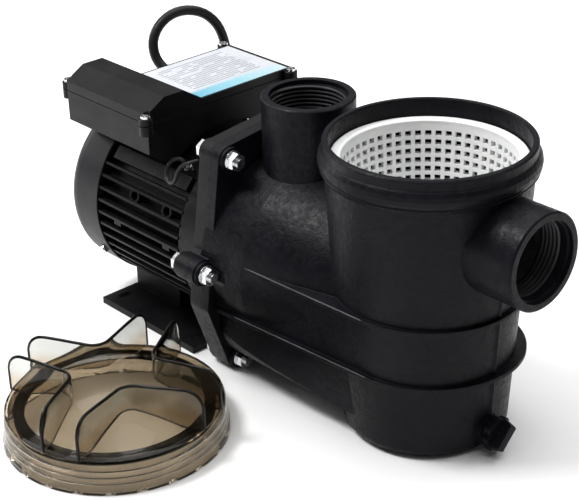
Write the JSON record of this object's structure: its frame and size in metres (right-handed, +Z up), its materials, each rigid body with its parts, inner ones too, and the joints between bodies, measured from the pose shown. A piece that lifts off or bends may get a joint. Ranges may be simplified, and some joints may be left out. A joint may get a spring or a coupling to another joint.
{
  "type": "pool pump",
  "caption": "Self-priming electric pool pump with a strainer pot, threaded suction and discharge ports, finned motor and a clear screw-on pot lid beside it.",
  "frame": {"origin": "centre of the motor foot's four slots, on the underside that stands on the floor", "axes": "+X along the motor shaft towards the suction port, +Z up through the discharge port, +Y to the left of the pump seen from the motor end"},
  "size_m": [0.4794, 0.5012, 0.236],
  "materials": {
    "body_plastic": "black moulded thermoplastic with a satin skin",
    "frame_paint": "black painted die-cast aluminium",
    "cover_steel": "dark grey painted sheet steel",
    "box_plastic": "black moulded plastic",
    "clear_lid": "smoke-tinted transparent polycarbonate",
    "basket_white": "white moulded polypropylene",
    "rubber_black": "black nitrile rubber",
    "chrome_steel": "bright plated steel",
    "bare_steel": "ground steel",
    "lamination": "stacked electrical steel sheets",
    "copper": "lacquered copper wire",
    "alloy": "cast aluminium",
    "ceramic": "polished ceramic",
    "impeller_resin": "glass-filled resin",
    "diffuser_resin": "dark glass-filled resin",
    "label_film": null,
    "terminal_resin": "cream thermoset",
    "capacitor_shell": "pale grey plastic can",
    "cord_jacket": "black rubber jacket",
    "tie_plastic": "pale cable tie",
    "plug_plastic": "black moulded plug",
    "brass_pin": "plain brass",
    "wire_jacket": "thin black wire jacket"
  },
  "bodies": {
    "pump": {"pump_body": "body_plastic", "diffuser": "diffuser_resin", "motor_bracket": "frame_paint", "body_oring": "rubber_black", "seal_seat": "ceramic", "motor_frame": "frame_paint", "stator_core": "lamination", "stator_windings": "copper", "front_bearing_outer": "bare_steel", "rear_bearing_outer": "bare_steel", "wave_washer": "bare_steel", "rear_bracket": "frame_paint", "tie_bolts": "chrome_steel", "fan_cover": "cover_steel", "fan_cover_screws": "chrome_steel", "motor_foot": "frame_paint", "foot_screws": "chrome_steel", "flange_bolts": "chrome_steel", "flange_washers": "chrome_steel", "flange_nuts": "chrome_steel", "terminal_box_base": "box_plastic", "terminal_box_gasket": "rubber_black", "terminal_box_cover": "box_plastic", "cover_screws": "chrome_steel", "label_plate": "label_film", "terminal_block": "terminal_resin", "capacitor": "capacitor_shell", "capacitor_clamp": "box_plastic", "earth_screw": "chrome_steel", "earth_wire": "wire_jacket", "gland_body": "box_plastic", "gland_seal": "rubber_black", "gland_nut": "box_plastic", "power_cord": "cord_jacket", "cord_coil": "cord_jacket", "cord_tail": "cord_jacket", "cord_tie": "tie_plastic", "plug_body": "plug_plastic", "plug_pins": "brass_pin"},
    "rotor": {"shaft": "bare_steel", "rotor_core": "lamination", "rotor_end_rings": "alloy", "impeller": "impeller_resin", "fan": "body_plastic", "fan_clip": "bare_steel", "seal_head": "rubber_black", "seal_spring": "bare_steel", "shaft_slinger": "rubber_black", "front_bearing_inner": "bare_steel", "rear_bearing_inner": "bare_steel"},
    "cages": {"front_bearing_balls": "bare_steel", "rear_bearing_balls": "bare_steel"},
    "basket": {"strainer_basket": "basket_white"},
    "lid_ring": {"lid_seal": "rubber_black"},
    "lid": {"lid": "clear_lid"},
    "drain_ring": {"drain_plug_oring": "rubber_black"},
    "drain": {"drain_plug": "body_plastic"}
  },
  "joints": [
    {"name": "rotor_spin", "type": "hinge", "parent": "pump", "child": "rotor", "pos_m": [0, 0, 0.1], "axis": [1, 0, 0], "continuous": true},
    {"name": "cage_spin", "type": "hinge", "parent": "pump", "child": "cages", "pos_m": [0, 0, 0.1], "axis": [1, 0, 0], "continuous": true},
    {"name": "basket_lift", "type": "slide", "parent": "pump", "child": "basket", "axis": [0, 0, 1], "range_m": [0, 0.16]},
    {"name": "lid_lift", "type": "slide", "parent": "pump", "child": "lid_ring", "axis": [0, 0, 1], "range_m": [0, 0.05]},
    {"name": "lid_turn", "type": "hinge", "parent": "lid_ring", "child": "lid", "pos_m": [0.1093, -0.1848, 0], "axis": [0, 0, 1], "continuous": true},
    {"name": "drain_out", "type": "slide", "parent": "pump", "child": "drain_ring", "axis": [1, 0, 0], "range_m": [0, 0.0125]},
    {"name": "drain_turn", "type": "hinge", "parent": "drain_ring", "child": "drain", "pos_m": [0.33, 0, 0.017], "axis": [1, 0, 0], "range_deg": [0, 1440]}
  ],
  "couplings": [
    {"joint": "cage_spin", "follows": "rotor_spin", "ratio": 0.3947},
    {"joint": "drain_out", "follows": "drain_turn", "m_per_rad": 0.00047746}
  ]
}
